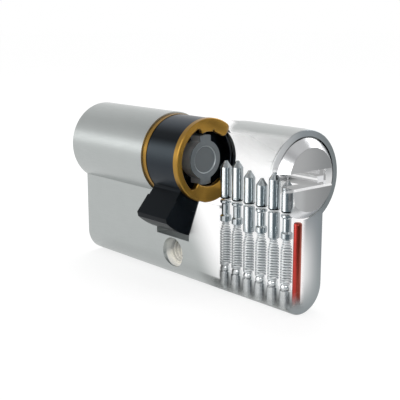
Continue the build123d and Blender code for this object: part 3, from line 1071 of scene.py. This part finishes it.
@dataclass
class PinStacks:
    """The key pins, driver pins and springs of both halves.

    A spring's taper is the share of its width that is left at the top, its closed ends rise by so many
    wires, and its steps are those of one turn.
    """

    stacks: int = 6
    spring_pitch: float = 0.5
    cone_turns: float = 4.0
    taper: float = 0.62
    wire: float = 0.3
    closed_wires: float = 1.5
    chamber_gap: float = 0.06
    turn_steps: int = 24
    wire_sides: int = 8

    def dress(self) -> None:
        """Gives the pins their finish."""
        finish = PIN_NICKEL_SILVER.material()
        for side in Side:
            for number in range(1, self.stacks + 1):
                dress(finish, f"key_pin_{side.value}_{number}", f"driver_pin_{side.value}_{number}")

    def spring_tree(self) -> bpy.types.NodeTree:
        """Builds the tree of a wound spring, with a closed turn at each end.

        Returns:
            The tree.
        """
        tree = new_tree(
            "wound_spring",
            (
                ("Coil Radius", "NodeSocketFloat"),
                ("Wire", "NodeSocketFloat"),
                ("Length", "NodeSocketFloat"),
                ("Turns", "NodeSocketFloat"),
                ("Cone Turns", "NodeSocketFloat"),
                ("Taper", "NodeSocketFloat"),
                ("Foot", "NodeSocketVector"),
            ),
        )
        size = add_node(tree, "NodeGroupInput").outputs
        path = add_node(
            tree,
            "GeometryNodeCurveSpiral",
            {
                "Resolution": self.turn_steps,
                "Rotations": size["Turns"],
                "Start Radius": size["Coil Radius"],
                "End Radius": size["Coil Radius"],
                "Height": 0.0,
            },
        )
        share = add_node(tree, "GeometryNodeSplineParameter").outputs["Factor"]
        wound = add_node(
            tree, "ShaderNodeMath", {0: share, 1: size["Turns"]}, operation="MULTIPLY"
        ).outputs[0]
        last = add_node(tree, "ShaderNodeMath", {0: size["Turns"], 1: 1.0}, operation="SUBTRACT").outputs[0]
        closed = add_node(
            tree, "ShaderNodeMath", {0: size["Wire"], 1: self.closed_wires}, operation="MULTIPLY"
        ).outputs[0]
        top = add_node(
            tree, "ShaderNodeMath", {0: size["Length"], 1: closed}, operation="SUBTRACT"
        ).outputs[0]
        low_turn = add_node(
            tree,
            "ShaderNodeMapRange",
            {"Value": wound, "From Max": 1.0, "To Max": size["Wire"]},
        ).outputs[0]
        open_turns = add_node(
            tree,
            "ShaderNodeMapRange",
            {"Value": wound, "From Min": 1.0, "From Max": last, "To Min": closed, "To Max": top},
        ).outputs[0]
        high_turn = add_node(
            tree,
            "ShaderNodeMapRange",
            {"Value": wound, "From Min": last, "From Max": size["Turns"], "To Max": size["Wire"]},
        ).outputs[0]
        ends = add_node(tree, "ShaderNodeMath", {0: low_turn, 1: high_turn}, operation="ADD").outputs[0]
        level = add_node(tree, "ShaderNodeMath", {0: ends, 1: open_turns}, operation="ADD").outputs[0]
        level = add_node(
            tree, "ShaderNodeMath", {0: level, 1: size["Wire"]}, operation="SUBTRACT"
        ).outputs[0]
        cone = add_node(
            tree, "ShaderNodeMath", {0: size["Turns"], 1: size["Cone Turns"]}, operation="SUBTRACT"
        )
        taper = add_node(
            tree,
            "ShaderNodeMapRange",
            {
                "Value": wound,
                "From Min": cone.outputs[0],
                "From Max": last,
                "To Min": 1.0,
                "To Max": size["Taper"],
            },
        ).outputs[0]
        narrow = add_node(tree, "ShaderNodeCombineXYZ", {"X": taper, "Y": taper, "Z": 1.0})
        drawn_in = add_node(
            tree,
            "ShaderNodeVectorMath",
            {0: add_node(tree, "GeometryNodeInputPosition").outputs[0], 1: narrow.outputs[0]},
            operation="MULTIPLY",
        )
        lift = add_node(tree, "ShaderNodeCombineXYZ", {"Z": level})
        risen = add_node(
            tree,
            "GeometryNodeSetPosition",
            {"Geometry": path.outputs[0], "Position": drawn_in.outputs[0], "Offset": lift.outputs[0]},
        )
        thick = add_node(tree, "ShaderNodeMath", {0: size["Wire"], 1: 0.5}, operation="MULTIPLY")
        round_wire = add_node(
            tree,
            "GeometryNodeCurvePrimitiveCircle",
            {"Resolution": self.wire_sides, "Radius": thick.outputs[0]},
        )
        swept = add_node(
            tree,
            "GeometryNodeCurveToMesh",
            {"Curve": risen.outputs[0], "Profile Curve": round_wire.outputs[0], "Fill Caps": True},
        )
        placed = add_node(
            tree, "GeometryNodeTransform", {"Geometry": swept.outputs[0], "Translation": size["Foot"]}
        )
        close_tree(tree, placed.outputs[0], size["Finish"])
        return tree

    def springs(self) -> list[bpy.types.Object]:
        """Winds a spring under each driver pin.

        Returns:
            The springs, each in place of its CAD node.
        """
        tree = self.spring_tree()
        finish = SPRING_STEEL.material()
        made = []
        for side in Side:
            for number in range(1, self.stacks + 1):
                node = f"pin_spring_{side.value}_{number}"
                low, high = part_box(node)
                foot = Vector(((low.x + high.x) / 2, (low.y + high.y) / 2, low.z))
                length = high.z - low.z
                piece = grown_piece(
                    f"wound_spring_{side.value}_{number}",
                    tree,
                    {
                        "Coil Radius": (high.x - low.x - self.wire * MM) / 2 + self.chamber_gap * MM,
                        "Wire": self.wire * MM,
                        "Length": length,
                        "Turns": length / (self.spring_pitch * MM),
                        "Cone Turns": self.cone_turns,
                        "Taper": self.taper,
                        "Foot": foot,
                    },
                    finish,
                )
                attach(piece, "housing")
                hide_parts(node)
                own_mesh(piece)
                made.append(piece)
                LOG.info("wound %s", piece.name)
        return made


def matt_paper(name: str, colour: str) -> bpy.types.Material:
    """Makes a matt paper for the studio, without gloss.

    Args:
        name: the material's name.
        colour: its grey.

    Returns:
        The new material.
    """
    material = bpy.data.materials.new(name)
    material.use_nodes = True
    shader = material.node_tree.nodes["Principled BSDF"]
    shader.inputs["Base Color"].default_value = linear(colour)
    shader.inputs["Roughness"].default_value = 1.0
    shader.inputs["Specular IOR Level"].default_value = 0.0
    return material


class LampUse(Enum):
    """What a lamp does."""

    BOTH = "lights the cylinder and shows in polished metal"
    LIGHT = "only lights the cylinder"
    STREAK = "only shows in polished metal, as a streak"


@dataclass(frozen=True)
class Lamp:
    """A soft box that faces the cylinder.

    Args:
        name: the lamp's name.
        place: where it hangs.
        size: its width and height.
        level: how bright its face is, where 1 is the white of the room.
        use: what it does.
    """

    name: str
    place: tuple[float, float, float]
    size: tuple[float, float]
    level: float
    use: LampUse = LampUse.BOTH

    def hang(self) -> None:
        """Hangs the lamp in the scene."""
        data = bpy.data.lights.new(self.name, "AREA")
        data.shape = "RECTANGLE"
        data.size = self.size[0] * MM
        data.size_y = self.size[1] * MM
        data.energy = self.level * math.pi * data.size * data.size_y
        lamp = bpy.data.objects.new(self.name, data)
        lamp.location = Vector(self.place) * MM
        lamp.rotation_mode = "QUATERNION"
        lamp.rotation_quaternion = (-lamp.location).to_track_quat("-Z", "Y")
        bpy.context.scene.collection.objects.link(lamp)
        if self.use is LampUse.LIGHT:
            lamp.visible_glossy = False
        if self.use is LampUse.STREAK:
            lamp.visible_diffuse = False
            lamp.visible_camera = False


@dataclass(frozen=True)
class Card:
    """A folded grey card on the floor beside the pins, which only polished metal sees.

    Args:
        line: its line on the floor, along the barrel and across it.
        top: the height of its upper edge.
        colour: its grey.
    """

    line: tuple[tuple[float, float], ...] = ((36.0, -36.0), (49.0, -20.0), (55.0, 0.0), (54.0, 13.0))
    top: float = 13.0
    colour: str = "#8E9CA3"

    def stand(self) -> None:
        """Stands the card on the floor."""
        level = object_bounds()[0].z
        corners = [(x * MM, y * MM, z) for z in (level, self.top * MM) for x, y in self.line]
        count = len(self.line)
        faces = [(n, n + 1, n + 1 + count, n + count) for n in range(count - 1)]
        mesh = bpy.data.meshes.new("pin_card")
        mesh.from_pydata(corners, [], faces)
        card = solid_piece("pin_card", mesh, matt_paper("card_grey_matt", self.colour))
        card.visible_shadow = False
        card.visible_diffuse = False
        card.visible_camera = False
        card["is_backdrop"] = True


@dataclass
class Studio:
    """A white floor, soft light and a camera at the drawing's angle."""

    camera_place: tuple[float, float, float] = (126.392, -107.048, 46.068)
    azimuth: float = 49.1767
    elevation: float = 12.3083
    lens: float = 76.55
    sensor: float = 36.0
    nearest: float = 5.0
    farthest: float = 20000.0
    floor_size: float = 4000.0
    floor_white: str = "#9E9E9E"
    floor_glow: float = 0.74
    ambient: float = 0.75
    # What metal sees of the room: the level at each height, from straight down at 0 to straight up at 1.
    room: tuple[tuple[float, float], ...] = (
        (0.0, 0.9),
        (0.5, 1.05),
        (0.56, 1.03),
        (0.68, 0.93),
        (0.8, 0.73),
        (0.835, 0.72),
        (0.87, 0.4),
        (0.93, 0.4),
        (1.0, 0.9),
    )
    # The room's back wall is paler, from this way to that way across it.
    back_wall: tuple[float, float] = (-0.2, 0.05)
    back_wall_glow: float = 0.22
    lamps: tuple[Lamp, ...] = (
        Lamp("side_box", (-330.0, -300.0, 90.0), (240.0, 110.0), 1.25),
        Lamp("top_box", (17.0, 361.0, 232.0), (260.0, 200.0), 2.6, LampUse.STREAK),
        Lamp("front_box", (280.0, -250.0, 175.0), (150.0, 200.0), 4.0, LampUse.STREAK),
        Lamp("key_box", (-110.0, 110.0, 340.0), (220.0, 220.0), 2.2, LampUse.LIGHT),
        Lamp("pin_strip", (4.0, -44.0, 14.0), (30.0, 40.0), 1.9, LampUse.STREAK),
    )
    transparent_bounces: int = 32

    def camera(self) -> None:
        """Puts the camera at the drawing's angle."""
        turn, rise = math.radians(self.azimuth), math.radians(self.elevation)
        back = Vector(
            (math.sin(turn) * math.cos(rise), -math.cos(turn) * math.cos(rise), math.sin(rise))
        )
        data = bpy.data.cameras.new("camera")
        data.lens = self.lens
        data.sensor_width = self.sensor
        data.clip_start = self.nearest * MM
        data.clip_end = self.farthest * MM
        camera = bpy.data.objects.new("camera", data)
        camera.location = Vector(self.camera_place) * MM
        camera.rotation_mode = "QUATERNION"
        camera.rotation_quaternion = (-back).to_track_quat("-Z", "Y")
        bpy.context.scene.collection.objects.link(camera)
        bpy.context.scene.camera = camera

    def floor(self) -> None:
        """Lays the white floor that the cylinder stands on."""
        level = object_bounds()[0].z
        half = self.floor_size / 2 * MM
        mesh = bpy.data.meshes.new("floor")
        mesh.from_pydata(
            [(-half, -half, level), (half, -half, level), (half, half, level), (-half, half, level)],
            [],
            [(0, 1, 2, 3)],
        )
        material = matt_paper("paper_white_matt", self.floor_white)
        material.cycles.emission_sampling = "NONE"
        tree = material.node_tree
        rays = add_node(tree, "ShaderNodeLightPath").outputs
        seen = rays["Is Camera Ray"]
        for ray in ("Is Glossy Ray", "Is Transmission Ray"):
            seen = add_node(tree, "ShaderNodeMath", {0: seen, 1: rays[ray]}, operation="ADD").outputs[0]
        glow = add_node(tree, "ShaderNodeMath", {0: seen, 1: self.floor_glow}, operation="MULTIPLY")
        tree.links.new(glow.outputs[0], tree.nodes["Principled BSDF"].inputs["Emission Strength"])
        solid_piece("floor", mesh, material)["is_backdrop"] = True

    def world(self) -> None:
        """Lights the scene from a pale room, which metal sees with a darker band above the horizon."""
        world = bpy.data.worlds.new("pale_room")
        bpy.context.scene.world = world
        world.use_nodes = True
        world.cycles.sampling_method = "NONE"
        tree = world.node_tree
        rays = add_node(tree, "ShaderNodeLightPath").outputs
        way = add_node(tree, "ShaderNodeTexCoord").outputs["Generated"]
        parts = add_node(tree, "ShaderNodeSeparateXYZ", {0: way}).outputs
        rise = add_node(
            tree, "ShaderNodeMapRange", {"Value": parts["Z"], "From Min": -1.0, "From Max": 1.0}
        )
        room = add_node(tree, "ShaderNodeValToRGB", {"Fac": rise.outputs[0]})
        ramp = room.color_ramp
        for place, _ in self.room[1:-1]:
            ramp.elements.new(place)
        for element, (place, level) in zip(ramp.elements, self.room):
            element.position = place
            element.color = (level, level, level, 1.0)
        wall_start, wall_stop = self.back_wall
        back = add_node(
            tree,
            "ShaderNodeMapRange",
            {
                "Value": parts["Y"],
                "From Min": wall_start,
                "From Max": wall_stop,
                "To Max": self.back_wall_glow,
            },
        )
        lit = add_node(
            tree, "ShaderNodeVectorMath", {0: room.outputs["Color"], 1: back.outputs[0]}, operation="ADD"
        )
        plain = add_node(
            tree,
            "ShaderNodeMix",
            {
                "Factor": rays["Is Glossy Ray"],
                "A": (self.ambient, self.ambient, self.ambient, 1.0),
                "B": lit.outputs[0],
            },
            data_type="RGBA",
        )
        straight = add_node(
            tree,
            "ShaderNodeMath",
            {0: rays["Is Camera Ray"], 1: rays["Is Transmission Ray"]},
            operation="MAXIMUM",
        )
        shown = add_node(
            tree,
            "ShaderNodeMix",
            {"Factor": straight.outputs[0], "A": plain.outputs["Result"], "B": (1.0, 1.0, 1.0, 1.0)},
            data_type="RGBA",
        )
        tree.links.new(shown.outputs["Result"], tree.nodes["Background"].inputs["Color"])

    def build(self) -> None:
        """Sets up the camera, floor, room, lamps and card."""
        self.camera()
        self.floor()
        self.world()
        for lamp in self.lamps:
            lamp.hang()
        Card().stand()
        scene = bpy.context.scene
        scene.view_settings.view_transform = "Standard"
        scene.cycles.transparent_max_bounces = self.transparent_bounces


def main() -> None:
    """Builds and dresses the cylinder, piece by piece, and sets up the studio."""
    logging.basicConfig(level=logging.INFO, format="%(name)s: %(message)s")
    housing = Housing()
    housing.dress()
    LOG.info("built %s", housing.section_face().name)
    LOG.info("built %s", housing.thread().name)
    TurningParts().dress()
    stacks = PinStacks()
    stacks.dress()
    stacks.springs()
    Studio().build()


if __name__ == "__main__":
    main()
